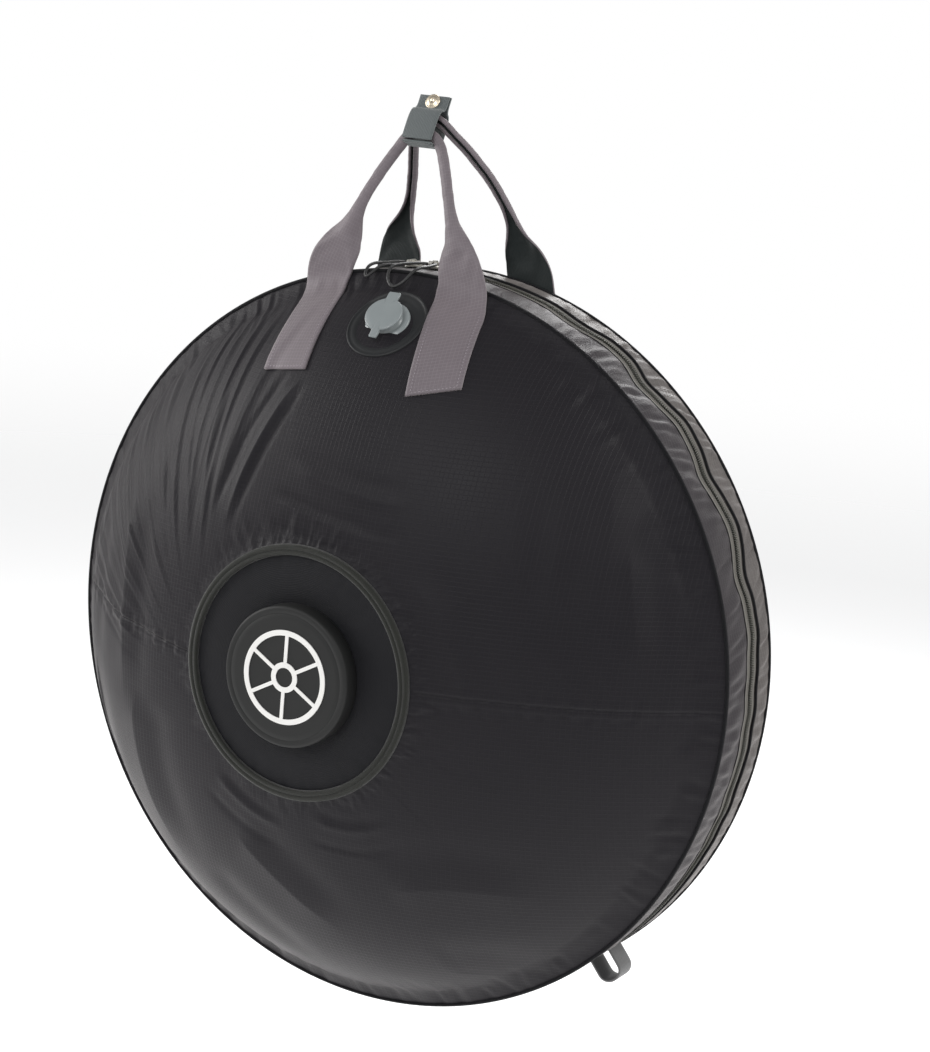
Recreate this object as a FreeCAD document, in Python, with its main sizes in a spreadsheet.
import FreeCAD, Part
import math
import os
import re
import Sketcher

# Round zipped wheel bag: an air-filled front shell and a foam-padded rear shell, joined by a zipped
# gusset with a fabric hinge at the bottom, and carried by two handles held together in a snap wrap.
# Millimetres. The origin is the middle of the gusset on the wheel's axle line, which is Y. The front
# faces -Y and the handles stand up along +Z.

SIZES = [
    ("seam_radius", 360.0, "radius of the round seams, outside of the gusset"),
    ("gusset_width", 96.0, "distance between the front and the rear seam"),
    ("gusset_wall", 4.0, "thickness of the padded gusset"),
    ("front_depth", 155.0, "height of the front hub ring over the front seam"),
    ("front_bulge", 22.0, "how far the front wall swells past a straight cone"),
    ("rear_depth", 90.0, "height of the rear hub ring over the rear seam"),
    ("rear_bulge", 14.0, "how far the rear wall swells past a straight cone"),
    ("hub_radius", 120.0, "outside radius of the hub ring binding"),
    ("binding_width", 10.0, "width of the hub ring binding"),
    ("binding_height", 3.0, "thickness of the hub ring binding"),
    ("cap_radius", 66.0, "radius of the raised hub cap"),
    ("front_cap_height", 19.0, "height of the front hub cap over its pad"),
    ("rear_cap_height", 12.0, "height of the rear hub cap over its pad"),
    ("cap_round", 7.0, "rounding of the hub cap edge"),
    ("emblem_radius", 44.0, "outside radius of the spoke emblem"),
    ("emblem_height", 0.8, "thickness of the emblem"),
    ("emblem_bar", 5.0, "width of the emblem's rings and spokes"),
    ("emblem_spokes", 6.0, "number of spokes in the emblem"),
    ("guard_margin", 10.0, "distance from the hub opening's edge in to the stiff guard"),
    ("guard_thickness", 2.0, "thickness of the hub guard"),
    ("skin", 1.5, "thickness of the outer fabric"),
    ("air_wall", 14.0, "thickness of the inflated bladder"),
    ("bladder_film", 1.0, "thickness of the bladder's film"),
    ("foam_wall", 10.0, "thickness of the rear foam"),
    ("lining", 1.2, "thickness of the lining"),
    ("piping_radius", 1.6, "radius of the cord in the round seams"),
    ("zip_offset", 7.5, "how far the zip line lies behind the middle of the gusset"),
    ("zip_width", 27.0, "width of the zip, both tapes together"),
    ("tape_thickness", 1.5, "thickness of the zip tapes"),
    ("coil_width", 6.0, "width over both rows of zip coil"),
    ("coil_gap", 1.8, "gap between the two rows of coil"),
    ("coil_rise", 1.2, "how far the coil stands over the tape"),
    ("zip_end_angle", 136.0, "angle from the top to each end of the zip"),
    ("stop_angle", 1.6, "angle that a zip end stop takes up"),
    ("slider_left_angle", 5.6, "angle of the left slider left of the top"),
    ("slider_right_angle", 1.8, "angle of the right slider left of the top"),
    ("slider_length", 16.0, "length of a slider along the zip"),
    ("slider_width", 12.0, "width of a slider across the zip"),
    ("slider_plate", 1.4, "thickness of a slider's plates"),
    ("slider_play", 0.4, "clearance between a slider and the zip"),
    ("bridge_radius", 1.2, "radius of the slider's bridge bar"),
    ("bridge_rise", 3.2, "height of the bridge bar over the slider's plate"),
    ("link_play", 0.4, "clearance of a link's eyes on their bars"),
    ("link_wall", 1.1, "wall of a link's eyes"),
    ("link_reach", 1.6, "how far a link's cord eye stands past the slider's side"),
    ("link_width", 4.0, "width of a link"),
    ("cord_radius", 1.5, "radius of the pull cord"),
    ("cord_loop_width", 16.0, "width of a pull cord loop"),
    ("cord_loop_length", 45.0, "length of a pull cord loop"),
    ("pull_droop", 4.0, "angle that the pulls lie down at"),
    ("strap_width", 48.0, "width of the handle fabric where it is sewn on"),
    ("strap_thickness", 3.0, "thickness of the handle fabric"),
    ("strap_spacing", 152.0, "distance between the feet of a handle"),
    ("tab_toe_in", 3.0, "angle that each sewn end leans towards the middle"),
    ("front_tab_roll", 12.0, "angle that the front handle's sewn ends lean to the left"),
    ("front_handle_roll", 3.0, "angle that the line between the front handle's feet rises to the right"),
    ("tab_length", 86.0, "height of the sewn part of a handle below the seam"),
    ("tab_margin", 4.0, "distance from the seam to the upper end of the sewn part"),
    ("foot_gap", 8.0, "how far in front of the seam a handle's foot stands"),
    ("foot_drop", 8.0, "how far the handle feet stand below the seam's top"),
    ("front_lean", 18.5, "how far the front handle's feet lie left of the middle"),
    ("rear_lean", 3.0, "how far the rear handle's feet lie left of the middle"),
    ("grip_shift", 27.0, "how far the grips lie left of the middle"),
    ("front_grip_rise", 127.0, "height of the front handle's grip over the seam's top"),
    ("front_grip_setback", 10.0, "how far the front grip lies in front of the middle"),
    ("rear_grip_rise", 143.0, "height of the rear handle's grip over the seam's top"),
    ("rear_grip_setback", 0.5, "how far the rear grip lies in front of the middle"),
    ("grip_width", 12.0, "width of a handle folded together at the grip"),
    ("grip_thickness", 8.0, "thickness of a handle folded together at the grip"),
    ("wrap_width", 32.0, "width of the snap wrap along the grips"),
    ("wrap_thickness", 1.8, "thickness of the wrap"),
    ("wrap_tilt", 25.0, "angle that the wrap leans back at"),
    ("wrap_play", 2.6, "clearance between the grips and the wrap"),
    ("wrap_top", 28.0, "height of the wrap's top over its middle"),
    ("wrap_reach", 12.0, "how far the wrap goes down past the grips"),
    ("wrap_shift", 3.0, "how far the wrap's middle lies behind the grips' middle"),
    ("wrap_joint_gap", 0.5, "clearance round the flap"),
    ("snap_radius", 7.5, "radius of the snap's cap"),
    ("snap_height", 20.5, "height of the snap over the wrap's middle"),
    ("snap_cap_thickness", 2.4, "thickness of the snap's cap"),
    ("stud_radius", 5.0, "radius of the snap's stud"),
    ("stud_thickness", 1.8, "thickness of the snap's stud"),
    ("valve_radius_out", 316.0, "distance from the axle line to the valve"),
    ("valve_side", 3.0, "how far the valve lies right of the middle"),
    ("patch_radius", 38.0, "radius of the patch round the valve"),
    ("patch_thickness", 1.2, "thickness of the valve patch"),
    ("flange_radius", 22.0, "radius of the valve's flange"),
    ("flange_height", 3.5, "thickness of the valve's flange"),
    ("neck_radius", 15.0, "radius of the valve's neck"),
    ("neck_height", 12.0, "height of the valve's neck over the patch"),
    ("valve_bore", 9.0, "radius of the valve's bore"),
    ("valve_depth", 9.0, "how far the valve reaches down into the bladder"),
    ("flap_thickness", 1.0, "thickness of the non-return flap"),
    ("lid_radius", 18.5, "radius of the valve lid"),
    ("lid_thickness", 3.5, "thickness of the valve lid"),
    ("lid_play", 0.4, "clearance under and round the valve lid"),
    ("loop_angle", 139.6, "angle from the top to the pull loop at the zip's right end"),
    ("loop_width", 25.0, "width of the pull loop's webbing"),
    ("loop_reach", 29.0, "how far the pull loop stands out"),
    ("loop_across", 26.0, "outside width of the pull loop"),
    ("webbing", 2.2, "thickness of the pull loop's webbing"),
]

doc = FreeCAD.newDocument("wheel_bag")
sheet = doc.addObject("Spreadsheet::Sheet", "sizes")
for row, (alias, number, meaning) in enumerate(SIZES, 1):
    sheet.set(f"A{row}", alias)
    sheet.set(f"B{row}", str(number))
    sheet.set(f"C{row}", meaning)
    sheet.setAlias(f"B{row}", alias)
doc.recompute()

ALIASES = re.compile(r"\b(" + "|".join(alias for alias, _, _ in SIZES) + r")\b")
X_AXIS, Y_AXIS, Z_AXIS = FreeCAD.Vector(1, 0, 0), FreeCAD.Vector(0, 1, 0), FreeCAD.Vector(0, 0, 1)
nodes = []


def full(text):
    """Write the sheet's name before each of its aliases."""
    return ALIASES.sub(r"sizes.\1", text)


def size(text):
    """Number that an expression on the sheet's sizes has now."""
    return float(sheet.evalExpression(full(text)))


def bind(target, **sizes_of):
    """Bind properties to expressions; a double underscore stands for a dot."""
    for name, text in sizes_of.items():
        target.setExpression(name.replace("__", "."), full(text))


def node(target, label):
    """Name a finished sub-part and list it for export."""
    target.Label = label
    nodes.append(target)
    return target


def turned(axis, degrees):
    return FreeCAD.Rotation(axis, degrees)


# Rotations that bring a body drawn on the XY plane, with its height along +Y, to its place.
FRONT_UPPER = turned(Z_AXIS, 180)
FRONT_LOWER = turned(X_AXIS, 180)
REAR_UPPER = FreeCAD.Rotation()
REAR_LOWER = turned(Y_AXIS, 180)
FROM_TOP = turned(Y_AXIS, -90)
FROM_BOTTOM = turned(Y_AXIS, 90)


# ---- turned sub-parts -------------------------------------------------------------------------

def draw_profile(body, name, corners, arcs):
    """Closed outline on the body's XY plane. Corners are pairs of expressions, and arcs gives the
    centre and the radius of each edge that is not straight, by the number of its first corner."""
    sketch = body.newObject("Sketcher::SketchObject", name)
    plane = next(p for p in body.Origin.OriginFeatures if p.Role == "XY_Plane")
    sketch.AttachmentSupport = [(plane, "")]
    sketch.MapMode = "FlatFace"
    points = [FreeCAD.Vector(size(x), size(y), 0) for x, y in corners]
    count = len(points)
    for index, start in enumerate(points):
        end = points[(index + 1) % count]
        if index in arcs:
            centre = FreeCAD.Vector(size(arcs[index][0]), size(arcs[index][1]), 0)
            circle = Part.Circle(centre, Z_AXIS, size(arcs[index][2]))
            if (start - centre).cross(end - centre).z < 0:
                start, end = end, start
            ends = circle.parameter(start), circle.parameter(end)
            sketch.addGeometry(Part.ArcOfCircle(circle, *ends), False)
        else:
            sketch.addGeometry(Part.LineSegment(start, end), False)
    ends = []
    for index, start in enumerate(points):
        curve = sketch.Geometry[index]
        first_is_start = (curve.StartPoint - start).Length < 1e-6
        ends.append((1, 2) if first_is_start else (2, 1))
    for index in range(count):
        following = (index + 1) % count
        sketch.addConstraint(Sketcher.Constraint(
            "Coincident", index, ends[index][1], following, ends[following][0]))
    for index, (x, y) in enumerate(corners):
        for kind, text in (("DistanceX", x), ("DistanceY", y)):
            number = sketch.addConstraint(Sketcher.Constraint(
                kind, -1, 1, index, ends[index][0], size(text)))
            sketch.setExpression(f"Constraints[{number}]", full(text))
    for index, (_, _, radius) in arcs.items():
        number = sketch.addConstraint(Sketcher.Constraint("Radius", index, size(radius)))
        sketch.setExpression(f"Constraints[{number}]", full(radius))
    return sketch


def turned_body(name, corners, arcs=None, sweep="360", rotation=REAR_UPPER, height="0", centred=False):
    """Body turned about the Y axis from an outline, then raised along Y by height."""
    body = doc.addObject("PartDesign::Body", name)
    sketch = draw_profile(body, f"{name}_outline", corners, arcs or {})
    doc.recompute()
    spin = body.newObject("PartDesign::Revolution", f"{name}_turn")
    spin.Profile = sketch
    spin.ReferenceAxis = (sketch, ["V_Axis"])
    spin.Angle = size(sweep)
    bind(spin, Angle=sweep)
    spin.Midplane = centred
    spin.Reversed = not centred
    sketch.Visibility = False
    body.Tip = spin
    body.Placement = FreeCAD.Placement(FreeCAD.Vector(0, size(height), 0), rotation)
    bind(body, Placement__Base__y=height)
    return body


class Wall:
    """Swelling wall from the round seam to the hub ring, as arcs about one centre. Its lengths are
    expressions, with the height over the seam's plane as y."""

    def __init__(self, depth, bulge):
        run = "(seam_radius - hub_radius)"
        chord = f"sqrt({run}^2 + {depth}^2)"
        self.radius = f"({chord}^2 / (8 * {bulge}) + {bulge} / 2)"
        self.x = f"((seam_radius + hub_radius) / 2 - ({self.radius} - {bulge}) * {depth} / {chord})"
        self.y = f"({depth} / 2 - ({self.radius} - {bulge}) * {run} / {chord})"

    def reach(self, inset):
        """Radius at which the layer that lies inset below the outside meets the seam's plane."""
        return f"({self.x} + sqrt(({self.radius} - ({inset}))^2 - {self.y}^2))"

    def rise(self, inset, at):
        """Height of that layer at a radius."""
        return f"({self.y} + sqrt(({self.radius} - ({inset}))^2 - (({at}) - {self.x})^2))"

    def layer(self, outer, inner, stop, start=None):
        """Corners and arcs of a layer between two insets, from the seam's plane, or from the radius
        start, to the radius stop."""
        if start is None:
            corners = [(self.reach(inner), "0"), (self.reach(outer), "0")]
        else:
            corners = [(start, self.rise(inner, start)), (start, self.rise(outer, start))]
        corners += [(stop, self.rise(outer, stop)), (stop, self.rise(inner, stop))]
        arcs = {
            1: (self.x, self.y, f"({self.radius} - ({outer}))"),
            3: (self.x, self.y, f"({self.radius} - ({inner}))"),
        }
        return corners, arcs


HUB_EDGE = "(hub_radius - binding_width)"
FRONT_PLANE, REAR_PLANE = "-gusset_width / 2", "gusset_width / 2"
front_wall = Wall("front_depth", "front_bulge")
rear_wall = Wall("rear_depth", "rear_bulge")


def shell_layer(name, wall, outer, inner, rotation, sweep="360"):
    """One layer of a shell's wall, from its seam to its hub edge."""
    corners, arcs = wall.layer(outer, inner, HUB_EDGE)
    plane = FRONT_PLANE if wall is front_wall else REAR_PLANE
    return turned_body(name, corners, arcs, sweep, rotation, plane)


def hub_parts(side, wall, filling, cap_height, rotation, plane):
    """Binding, pad, raised cap and inside guard at the middle of a shell."""
    corners, arcs = wall.layer("-binding_height", "0", HUB_EDGE, "hub_radius")
    node(turned_body(f"{side}_hub_binding", corners, arcs, "360", rotation, plane), f"{side}_hub_binding")
    top = wall.rise("0", HUB_EDGE)
    base = wall.rise(f"skin + {filling}", HUB_EDGE)
    pad = [("0", base), (HUB_EDGE, base), (HUB_EDGE, top), ("0", top)]
    node(turned_body(f"{side}_hub_pad", pad, None, "360", rotation, plane), f"{side}_hub_pad")
    crown = f"({top} + {cap_height})"
    cap = [("0", top), ("cap_radius", top), ("cap_radius", f"({crown} - cap_round)"),
           ("(cap_radius - cap_round)", crown), ("0", crown)]
    edge = {2: ("(cap_radius - cap_round)", f"({crown} - cap_round)", "cap_round")}
    node(turned_body(f"{side}_hub_cap", cap, edge, "360", rotation, plane), f"{side}_hub_cap")
    under = f"({base} - guard_thickness)"
    edge = f"({HUB_EDGE} - guard_margin)"
    guard = [("0", under), (edge, under), (edge, base), ("0", base)]
    node(turned_body(f"{side}_hub_guard", guard, None, "360", rotation, plane), f"{side}_hub_guard")


def seam_cord(name, height):
    """Round seam cord that lies on the edge of the gusset."""
    ring = doc.addObject("Part::Torus", name)
    bind(ring, Radius1="seam_radius + piping_radius", Radius2="piping_radius",
         Placement__Base__y=height)
    ring.Placement.Rotation = turned(X_AXIS, 90)
    return node(ring, name)


def gusset_ring(name, low, high, inner, outer="seam_radius", sweep="360", rotation=FROM_TOP):
    """Part of the gusset between two places along Y, centred on the top or on the bottom."""
    corners = [(inner, low), (outer, low), (outer, high), (inner, high)]
    return turned_body(name, corners, None, sweep, rotation, "0", centred=True)


# ---- front shell ------------------------------------------------------------------------------

valve_wall_x = f"valve_radius_out - {front_wall.x}"
VALVE_SLOPE = math.degrees(math.asin(size(f"({valve_wall_x}) / {front_wall.radius}")))
VALVE_BASE = FreeCAD.Vector(
    size("valve_side"), size(f"{FRONT_PLANE} - {front_wall.rise('0', 'valve_radius_out')}"),
    size("valve_radius_out"))
VALVE_OUT = FreeCAD.Vector(0, -math.cos(math.radians(VALVE_SLOPE)), math.sin(math.radians(VALVE_SLOPE)))
VALVE_TURN = FreeCAD.Rotation(Z_AXIS, VALVE_OUT)


def valve_cylinder(name, radius, low, length):
    """Cylinder on the valve's axis, from a height over the panel."""
    round_bar = doc.addObject("Part::Cylinder", name)
    bind(round_bar, Radius=radius, Height=length)
    round_bar.Placement = FreeCAD.Placement(VALVE_BASE + VALVE_OUT * size(low), VALVE_TURN)
    return round_bar


def boolean(kind, name, base, tool):
    """Cut, Fuse or Common of two objects."""
    result = doc.addObject(f"Part::{kind}", name)
    result.Base = base
    result.Tool = tool
    return result


panel = shell_layer("front_panel_upper_cloth", front_wall, "0", "skin", FRONT_UPPER, "180")
hole = valve_cylinder("valve_panel_hole", "neck_radius + lid_play", "-30", "60")
node(boolean("Cut", "front_panel_upper", panel, hole), "front_panel_upper")
node(shell_layer("front_panel_lower", front_wall, "0", "skin", FRONT_LOWER, "180"), "front_panel_lower")

outside = shell_layer("bladder_outside", front_wall, "skin", "skin + air_wall", FRONT_UPPER)
air_corners, air_arcs = front_wall.layer(
    "skin + bladder_film", "skin + air_wall - bladder_film", f"({HUB_EDGE} + bladder_film)",
    "(seam_radius - 4 * bladder_film - air_wall / 2)")
air = turned_body("bladder_air", air_corners, air_arcs, "360", FRONT_UPPER, FRONT_PLANE)
film = boolean("Cut", "bladder_film_only", outside, air)
port = valve_cylinder("valve_bladder_hole", "neck_radius + lid_play", "-valve_depth - 0.4", "30")
node(boolean("Cut", "front_air_bladder", film, port), "front_air_bladder")

node(shell_layer("front_lining", front_wall, "skin + air_wall", "skin + air_wall + lining", FRONT_UPPER),
     "front_lining")
hub_parts("front", front_wall, "air_wall", "front_cap_height", FRONT_UPPER, FRONT_PLANE)
seam_cord("front_piping", FRONT_PLANE)

ZIP_FRONT = "(zip_offset - zip_width / 2)"
ZIP_REAR = "(zip_offset + zip_width / 2)"
COIL_FRONT = "(zip_offset - coil_width / 2)"
COIL_REAR = "(zip_offset + coil_width / 2)"
FULL_ZIP = "2 * zip_end_angle"
TAPE_FLOOR = "(seam_radius - tape_thickness)"
COIL_TOP = "(seam_radius + coil_rise)"
GUSSET_FLOOR = "(seam_radius - gusset_wall)"

node(gusset_ring("front_gusset", FRONT_PLANE, ZIP_FRONT, GUSSET_FLOOR), "front_gusset")
node(gusset_ring("zip_tape_front", ZIP_FRONT, COIL_FRONT, TAPE_FLOOR, sweep=FULL_ZIP), "zip_tape_front")
node(gusset_ring("zip_coil_front", COIL_FRONT, "(zip_offset - coil_gap / 2)", TAPE_FLOOR, COIL_TOP,
                 FULL_ZIP), "zip_coil_front")


def emblem():
    """Plain spoked-wheel sign on the front hub cap: a rim, a hub ring and straight spokes."""
    thickness = size("emblem_height")
    bar = size("emblem_bar")
    rim = size("emblem_radius")
    count = int(size("emblem_spokes"))
    hub = rim * 0.32
    sign = Part.makeCylinder(rim, thickness).cut(Part.makeCylinder(rim - bar, thickness))
    sign = sign.fuse(Part.makeCylinder(hub, thickness).cut(Part.makeCylinder(hub - bar, thickness)))
    for turn in range(count):
        spoke = Part.makeBox(rim - hub, bar * 0.7, thickness)
        spoke.translate(FreeCAD.Vector(hub - bar / 2, -bar * 0.35, 0))
        spoke.rotate(FreeCAD.Vector(), Z_AXIS, 90 + turn * 360 / count)
        sign = sign.fuse(spoke)
    piece = doc.addObject("Part::Feature", "front_emblem")
    piece.Shape = sign.removeSplitter()
    face = size(f"{FRONT_PLANE} - {front_wall.rise('0', HUB_EDGE)} - front_cap_height")
    piece.Placement = FreeCAD.Placement(FreeCAD.Vector(0, face, 0), turned(X_AXIS, 90))
    return piece


node(emblem(), "front_emblem")

# ---- valve ------------------------------------------------------------------------------------

patch_corners, patch_arcs = front_wall.layer(
    "-patch_thickness", "0", "(valve_radius_out - patch_radius - 5)", "(seam_radius - 2)")
patch_ring = turned_body("valve_patch_ring", patch_corners, patch_arcs, "360", FRONT_UPPER, FRONT_PLANE)
patch_disc = boolean("Common", "valve_patch_disc", patch_ring,
                     valve_cylinder("valve_patch_edge", "patch_radius", "-30", "60"))
patch_hole = valve_cylinder("valve_patch_hole", "neck_radius + lid_play", "-30", "60")
node(boolean("Cut", "valve_patch", patch_disc, patch_hole), "valve_patch")

FLANGE_LOW = "(patch_thickness + 1.4)"
flange = valve_cylinder("valve_flange", "flange_radius", FLANGE_LOW, "flange_height")
neck = valve_cylinder("valve_neck", "neck_radius", "-valve_depth", "valve_depth + neck_height")
valve_solid = boolean("Fuse", "valve_solid", flange, neck)
valve_drill = valve_cylinder("valve_drill", "valve_bore", "-valve_depth - 1", "valve_depth + neck_height + 2")
node(boolean("Cut", "valve_base", valve_solid, valve_drill), "valve_base")
seal = valve_cylinder("valve_flap_disc", "neck_radius - 1", "-valve_depth - flap_thickness", "flap_thickness")
node(seal, "valve_flap")


def valve_lid():
    """Lid over the valve's neck, with a hinge ear above and a finger ear below."""
    thickness = size("lid_thickness")
    radius = size("lid_radius")
    lid = Part.makeCylinder(radius, thickness)
    lid = lid.makeFillet(thickness * 0.45, [e for e in lid.Edges if e.BoundBox.ZMin > thickness * 0.9])
    ear = Part.makeBox(12, radius + 7, thickness * 0.6)
    ear.translate(FreeCAD.Vector(-6, 0, 0))
    finger = Part.makeBox(11, radius + 8, thickness * 0.6)
    finger.translate(FreeCAD.Vector(-5.5, -radius - 8, 0))
    eye = Part.makeCylinder(1.6, thickness)
    eye.translate(FreeCAD.Vector(0, -radius - 4, 0))
    piece = doc.addObject("Part::Feature", "valve_cap")
    piece.Shape = lid.fuse(ear).fuse(finger).cut(eye).removeSplitter()
    top = VALVE_BASE + VALVE_OUT * size("neck_height + lid_play")
    facing = FreeCAD.Rotation(X_AXIS, VALVE_OUT.cross(X_AXIS), VALVE_OUT, "ZXY")
    piece.Placement = FreeCAD.Placement(top, facing)
    return piece


node(valve_lid(), "valve_cap")

# ---- rear shell -------------------------------------------------------------------------------

node(shell_layer("rear_panel_upper", rear_wall, "0", "skin", REAR_UPPER, "180"), "rear_panel_upper")
node(shell_layer("rear_panel_lower", rear_wall, "0", "skin", REAR_LOWER, "180"), "rear_panel_lower")
node(shell_layer("rear_foam_pad", rear_wall, "skin", "skin + foam_wall", REAR_UPPER), "rear_foam_pad")
node(shell_layer("rear_lining", rear_wall, "skin + foam_wall", "skin + foam_wall + lining", REAR_UPPER),
     "rear_lining")
hub_parts("rear", rear_wall, "foam_wall", "rear_cap_height", REAR_UPPER, REAR_PLANE)
seam_cord("rear_piping", REAR_PLANE)
node(gusset_ring("rear_gusset", ZIP_REAR, REAR_PLANE, GUSSET_FLOOR), "rear_gusset")
node(gusset_ring("zip_tape_rear", COIL_REAR, ZIP_REAR, TAPE_FLOOR, sweep=FULL_ZIP), "zip_tape_rear")
node(gusset_ring("zip_coil_rear", "(zip_offset + coil_gap / 2)", COIL_REAR, TAPE_FLOOR, COIL_TOP,
                 FULL_ZIP), "zip_coil_rear")
BAND_SWEEP = "(360 - 2 * zip_end_angle - 2 * stop_angle)"
node(gusset_ring("hinge_band", f"({ZIP_FRONT} + wrap_joint_gap)", ZIP_REAR, GUSSET_FLOOR,
                 sweep=BAND_SWEEP, rotation=FROM_BOTTOM), "hinge_band")


def zip_end_stops():
    """Metal crimp behind each end of the zip, both in one node."""
    low, high = size(f"{COIL_FRONT} + 0.5"), size(COIL_REAR)
    inner, outer = size(TAPE_FLOOR), size(f"{COIL_TOP} + 0.6")
    length = size("seam_radius") * math.radians(size("stop_angle")) * 0.6
    stops = []
    for side in (-1, 1):
        stop = Part.makeBox(length, high - low, outer - inner)
        stop.translate(FreeCAD.Vector(-length / 2, low, inner))
        stop.rotate(FreeCAD.Vector(), Y_AXIS, side * size("zip_end_angle + stop_angle / 2"))
        stops.append(stop)
    piece = doc.addObject("Part::Feature", "zip_end_stops")
    piece.Shape = Part.makeCompound(stops)
    return piece


node(zip_end_stops(), "zip_end_stops")


def pull_loop():
    """Webbing loop at the zip's right end, open from front to back."""
    width, reach, across = size("loop_width"), size("loop_reach"), size("loop_across")
    wall = size("webbing")
    corner = FreeCAD.Vector(-across / 2, size("zip_offset + 1"), size("seam_radius + 1"))
    outer = Part.makeBox(across, width, reach, corner)
    outer = outer.makeFillet(across * 0.3, [e for e in outer.Edges if abs(e.tangentAt(0).y) > 0.9])
    hollow = Part.makeBox(across - 2 * wall, width, reach - 2 * wall, corner + FreeCAD.Vector(wall, 0, wall))
    hollow = hollow.makeFillet(across * 0.22, [e for e in hollow.Edges if abs(e.tangentAt(0).y) > 0.9])
    loop = outer.cut(hollow)
    piece = doc.addObject("Part::Feature", "bottom_loop")
    piece.Shape = loop
    piece.Placement = FreeCAD.Placement(FreeCAD.Vector(), turned(Y_AXIS, size("loop_angle")))
    return piece


node(pull_loop(), "bottom_loop")

# ---- handle tabs, sewn to the shells ------------------------------------------------------------

def handle_tabs(side, wall, lean, roll, rotation, plane):
    """The two sewn ends of a handle, cut from a layer over the panel."""
    start = "(seam_radius - tab_margin)"
    corners, arcs = wall.layer("-strap_thickness", "0", "(seam_radius - 1.5 * tab_length)", start)
    layer = turned_body(f"{side}_tab_layer", corners, arcs, "360", rotation, plane)
    blanks = []
    for hand in (-1, 1):
        blank = doc.addObject("Part::Box", f"{side}_tab_blank_{'left' if hand < 0 else 'right'}")
        bind(blank, Length="strap_width", Width="2 * seam_radius", Height="tab_length")
        angle = hand * size("tab_toe_in") + roll
        side_way = hand * size("strap_spacing / 2") - size(lean)
        foot = FreeCAD.Vector(side_way, 0, size("seam_radius - foot_drop"))
        turn = turned(Y_AXIS, -angle)
        corner = FreeCAD.Vector(-size("strap_width / 2"), -size("seam_radius"), -size("tab_length"))
        blank.Placement = FreeCAD.Placement(foot + turn.multVec(corner), turn)
        blanks.append(blank)
    both = boolean("Fuse", f"{side}_tab_blanks", *blanks)
    node(boolean("Common", f"{side}_handle_tabs", layer, both), f"{side}_handle_tabs")


handle_tabs("front", front_wall, "front_lean", size("front_tab_roll"), FRONT_UPPER, FRONT_PLANE)
handle_tabs("rear", rear_wall, "rear_lean", 0.0, REAR_UPPER, REAR_PLANE)

# ---- handles ------------------------------------------------------------------------------------

LEG_STEPS = 6


def smooth(value):
    """Ease from 0 to 1."""
    value = max(0.0, min(1.0, value))
    return value * value * (3 - 2 * value)


def bezier(points, share):
    """Point of a cubic curve."""
    keep = 1 - share
    weights = (keep**3, 3 * keep**2 * share, 3 * keep * share**2, share**3)
    total = FreeCAD.Vector()
    for point, weight in zip(points, weights):
        total += point * weight
    return total


def strap_section(centre, along, share, outward, hand):
    """Four-cornered section of a strap that turns from flat, at share 0, to folded, at share 1."""
    fold = smooth((share - 0.12) / 0.6)
    width = size("strap_width") + (size("grip_width") - size("strap_width")) * smooth((share - 0.1) / 0.5)
    thickness = size("strap_thickness") + (size("grip_thickness") - size("strap_thickness")) * fold
    flat = X_AXIS * (-hand)
    turned_over = Y_AXIS * outward
    across = flat * math.cos(fold * math.pi / 2) + turned_over * math.sin(fold * math.pi / 2)
    across = (across - along * across.dot(along)).normalize()
    normal = along.cross(across)
    corners = [centre + across * (width / 2 * a) + normal * (thickness / 2 * b)
               for a, b in ((-1, -1), (1, -1), (1, 1), (-1, 1))]
    return Part.makePolygon(corners + corners[:1])


def handle(side, outward, lean, roll, grip):
    """Carrying loop of a handle: two legs that fold together into a grip."""
    half_grip = size("wrap_width / 2 + 3")
    foot_y = outward * size("gusset_width / 2 + foot_gap")
    middle = FreeCAD.Vector(-size(lean), foot_y, size("seam_radius - foot_drop") + 1.5)
    sections = []
    for hand in (-1, 1):
        foot = middle + turned(Y_AXIS, -roll).multVec(X_AXIS * (hand * size("strap_spacing / 2")))
        end = grip + X_AXIS * (hand * half_grip)
        rise = (end - foot).Length
        curve = (foot, foot + Z_AXIS * (rise * 0.3) - X_AXIS * (rise * 0.04),
                 end + FreeCAD.Vector(hand * rise * 0.16, outward * rise * 0.1, -rise * 0.42), end)
        leg = []
        for step in range(LEG_STEPS + 1):
            share = step / LEG_STEPS
            here = bezier(curve, share)
            ahead = bezier(curve, min(1.0, share + 0.02)) - bezier(curve, max(0.0, share - 0.02))
            if step == 0:
                ahead = turned(Y_AXIS, -roll).multVec(Z_AXIS)
            if step == LEG_STEPS:
                ahead = FreeCAD.Vector(-hand, 0, 0.35)
            ahead = ahead.normalize() * (-hand)
            leg.append(strap_section(here, ahead, share, outward, hand))
        sections += leg if hand < 0 else leg[::-1]
        if hand < 0:
            sections.append(strap_section(grip + Z_AXIS * 1.0, X_AXIS, 1.0, outward, 1))
    piece = doc.addObject("Part::Feature", f"{side}_handle")
    piece.Shape = Part.makeLoft(sections, True, True)
    return piece


FRONT_GRIP = FreeCAD.Vector(
    -size("grip_shift"), -size("front_grip_setback"), size("seam_radius + front_grip_rise"))
REAR_GRIP = FreeCAD.Vector(
    -size("grip_shift"), -size("rear_grip_setback"), size("seam_radius + rear_grip_rise"))
node(handle("front", -1, "front_lean", size("front_handle_roll"), FRONT_GRIP), "front_handle")
node(handle("rear", 1, "rear_lean", 0.0, REAR_GRIP), "rear_handle")

# ---- snap wrap round both grips -----------------------------------------------------------------

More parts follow.
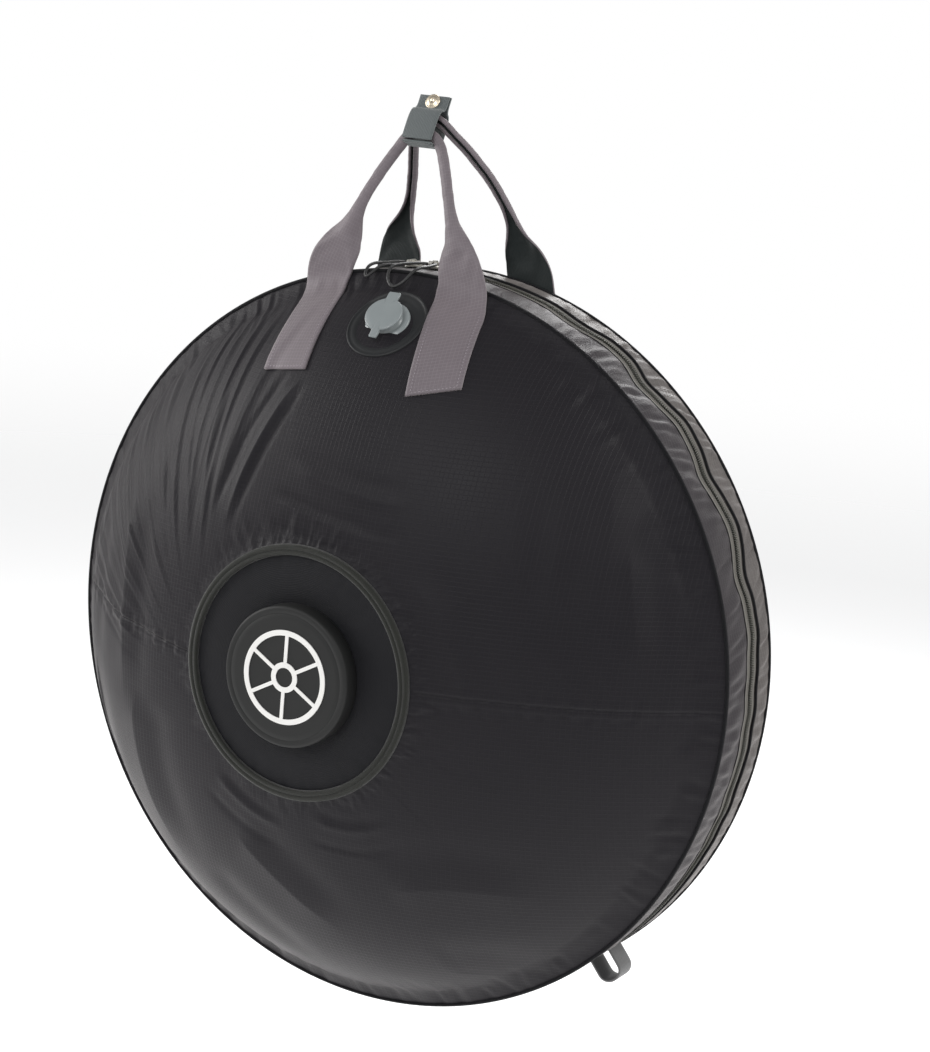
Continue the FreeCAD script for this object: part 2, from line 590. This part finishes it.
WRAP_MIDDLE = (FRONT_GRIP + REAR_GRIP) * 0.5 + FreeCAD.Vector(0, size("wrap_shift"), 4)
WRAP_PLACE = FreeCAD.Placement(WRAP_MIDDLE, turned(X_AXIS, -size("wrap_tilt")))
WRAP_DEPTH = size("grip_thickness + wrap_play - 1")
WRAP_FLOOR = -size("grip_thickness + wrap_play + wrap_reach")


def strip(points, thickness):
    """Strip along points in the YZ plane, as wide as the wrap, with its thickness to the left."""
    width = size("wrap_width")
    left = []
    for index, point in enumerate(points):
        before = points[max(index - 1, 0)]
        after = points[min(index + 1, len(points) - 1)]
        first = (point - before) if index else (after - point)
        second = (after - point) if index < len(points) - 1 else (point - before)
        bisector = (first.normalize() + second.normalize()).normalize()
        normal = FreeCAD.Vector(0, -bisector.z, bisector.y)
        left.append(point + normal * (thickness / abs(normal.dot(FreeCAD.Vector(0, -second.z, second.y)))))
    rim = [point - X_AXIS * (width / 2) for point in points + left[::-1] + points[:1]]
    return Part.Face(Part.makePolygon(rim)).extrude(X_AXIS * width)


def wrap_part(name, shape):
    """Piece of the wrap, set in its leaning place."""
    piece = doc.addObject("Part::Feature", name)
    piece.Shape = shape
    piece.Placement = WRAP_PLACE
    return node(piece, name)


def at(y, z):
    return FreeCAD.Vector(0, y, z)


thin, gap = size("wrap_thickness"), size("wrap_joint_gap")
wrap_top, snap_height = size("wrap_top"), size("snap_height")
pinch = snap_height - size("snap_radius") - 1
shoulder = pinch - 4
BASE_FACE, FLAP_FACE = 1.5 * gap + thin / 2, gap / 2 - 0.2
wrap_part("wrap_base", strip(
    [at(BASE_FACE, wrap_top), at(BASE_FACE, pinch), at(WRAP_DEPTH, shoulder), at(WRAP_DEPTH, WRAP_FLOOR + 4),
     at(WRAP_DEPTH - 3, WRAP_FLOOR), at(-WRAP_DEPTH + 1, WRAP_FLOOR)], thin))
wrap_part("wrap_flap", strip(
    [at(-WRAP_DEPTH, WRAP_FLOOR + 1), at(-WRAP_DEPTH, shoulder), at(FLAP_FACE, pinch),
     at(FLAP_FACE, wrap_top - 1)], thin))


def snap_disc(name, radius, y, length):
    """Round part of the snap, on its axis across the wrap."""
    disc = Part.makeCylinder(radius, length, FreeCAD.Vector(0, y, snap_height), Y_AXIS)
    wrap_part(name, disc)


cap_thickness = size("snap_cap_thickness")
snap_disc("snap_cap", size("snap_radius"), FLAP_FACE - thin - 0.2 - cap_thickness, cap_thickness)
snap_disc("snap_stud", size("stud_radius"), BASE_FACE + thin + 0.1, size("stud_thickness"))

# ---- sliders and pulls ----------------------------------------------------------------------------

def slider(side, angle):
    """Zip slider with two plates, a post between the coils and a bridge bar over the top."""
    length, width = size("slider_length"), size("slider_width")
    plate, play = size("slider_plate"), size("slider_play")
    floor, top = size(TAPE_FLOOR) - play, size(COIL_TOP) + play + 0.2
    post = size("coil_gap") - 2 * 0.3
    bar, rise = size("bridge_radius"), size("bridge_rise")
    upper = Part.makeBox(length, width, plate, FreeCAD.Vector(-length / 2, -width / 2, top))
    upper = upper.makeFillet(width * 0.3, [e for e in upper.Edges if abs(e.tangentAt(0).z) > 0.9])
    lower = Part.makeBox(length, width, plate, FreeCAD.Vector(-length / 2, -width / 2, floor - plate))
    middle = Part.makeBox(4, post, top - floor + 0.2, FreeCAD.Vector(-2, -post / 2, floor - 0.1))
    height = top + plate + rise
    bridge = Part.makeCylinder(bar, length - 2, FreeCAD.Vector(-length / 2 + 1, 0, height), X_AXIS)
    shape = upper.fuse([lower, middle, bridge])
    leg = 1.5 * bar
    for end in (-1, 1):
        corner = FreeCAD.Vector(end * (length / 2 - 1 - bar) - leg / 2, -leg / 2, top + plate - 0.1)
        shape = shape.fuse(Part.makeBox(leg, leg, rise + 0.1, corner))
    piece = doc.addObject("Part::Feature", f"slider_{side}")
    piece.Shape = shape.removeSplitter()
    piece.Placement = slider_place(angle)
    node(piece, f"slider_{side}")
    return height


def slider_place(angle):
    return FreeCAD.Placement(FreeCAD.Vector(0, size("zip_offset"), 0), turned(Y_AXIS, -size(angle)),
                             FreeCAD.Vector())


def pull(side, angle, height):
    """Metal link on the bridge bar, and the cord loop through it, lying towards the front."""
    play, wall, pitch = size("link_play"), size("link_wall"), size("slider_width / 2 + link_reach")
    width, bar, cord = size("link_width"), size("bridge_radius"), size("cord_radius")
    left = FreeCAD.Vector(-width / 2, 0, 0)
    cord_eye = FreeCAD.Vector(-width / 2, -pitch, 0)
    web = Part.makeBox(width, pitch, 1.8, FreeCAD.Vector(-width / 2, -pitch, -0.9))
    body = Part.makeCylinder(bar + play + wall, width, left, X_AXIS)
    body = body.fuse([Part.makeCylinder(cord + play + wall, width, cord_eye, X_AXIS), web])
    body = body.cut(Part.makeCylinder(bar + play, width, left, X_AXIS))
    body = body.cut(Part.makeCylinder(cord + play, width, cord_eye, X_AXIS))
    length, half = size("cord_loop_length"), size("cord_loop_width / 2") - cord
    bend = half - 0.5
    near, far = -pitch, -pitch - length + 2 * cord
    corners = [(-half, near), (-half, far), (half, far), (half, near)]
    path = rounded_path(corners, [3.0, bend, bend, 3.0])
    profile = Part.Wire(Part.makeCircle(cord, FreeCAD.Vector(0, near, 0), X_AXIS))
    loop = path.makePipeShell([profile], True, False)
    tilt = turned(Y_AXIS, -size(angle)) * turned(X_AXIS, size("pull_droop"))
    place = FreeCAD.Placement(
        turned(Y_AXIS, -size(angle)).multVec(FreeCAD.Vector(0, 0, height)) + Y_AXIS * size("zip_offset"), tilt)
    for name, shape in (("pull_link", body.removeSplitter()), ("pull_cord", loop)):
        piece = doc.addObject("Part::Feature", f"{name}_{side}")
        piece.Shape = shape
        piece.Placement = place
        node(piece, f"{name}_{side}")


def rounded_path(corners, radii):
    """Closed wire through corners in the XY plane, rounded, that starts in the middle of its last side."""
    points = [FreeCAD.Vector(x, y, 0) for x, y in corners]
    count = len(points)
    start = (points[-1] + points[0]) * 0.5
    edges, last = [], start
    for index, point in enumerate(points):
        before, after = points[index - 1], points[(index + 1) % count]
        inward, onward = (point - before).normalize(), (after - point).normalize()
        radius = radii[index]
        first, second = point - inward * radius, point + onward * radius
        middle = point + (onward - inward).normalize() * (radius * (math.sqrt(2) - 1))
        edges.append(Part.makeLine(last, first))
        edges.append(Part.Arc(first, middle, second).toShape())
        last = second
    edges.append(Part.makeLine(last, start))
    return Part.Wire(edges)


for side, angle in (("left", "slider_left_angle"), ("right", "slider_right_angle")):
    bar_height = slider(side, angle)
    pull(side, angle, bar_height)

# ---- checks and export ------------------------------------------------------------------------------

doc.recompute()
for item in doc.Objects:
    if "Invalid" in item.State or "Error" in item.State:
        raise RuntimeError(f"{item.Name} did not build: {item.State}")
os.makedirs("parts", exist_ok=True)
for item in nodes:
    if item.Shape.isNull() or not item.Shape.isValid() or not item.Shape.Solids:
        raise RuntimeError(f"{item.Label} has no sound solid")
for item in nodes:
    item.Shape.exportStep(f"parts/{item.Label}.step")
    box = item.Shape.BoundBox
    print(f"{item.Label:20s} solids {len(item.Shape.Solids)}  volume {item.Shape.Volume / 1000:9.2f} cm3"
          f"  x {box.XMin:7.1f} {box.XMax:7.1f}  y {box.YMin:7.1f} {box.YMax:7.1f}"
          f"  z {box.ZMin:7.1f} {box.ZMax:7.1f}")
print(len(nodes), "sub-parts")
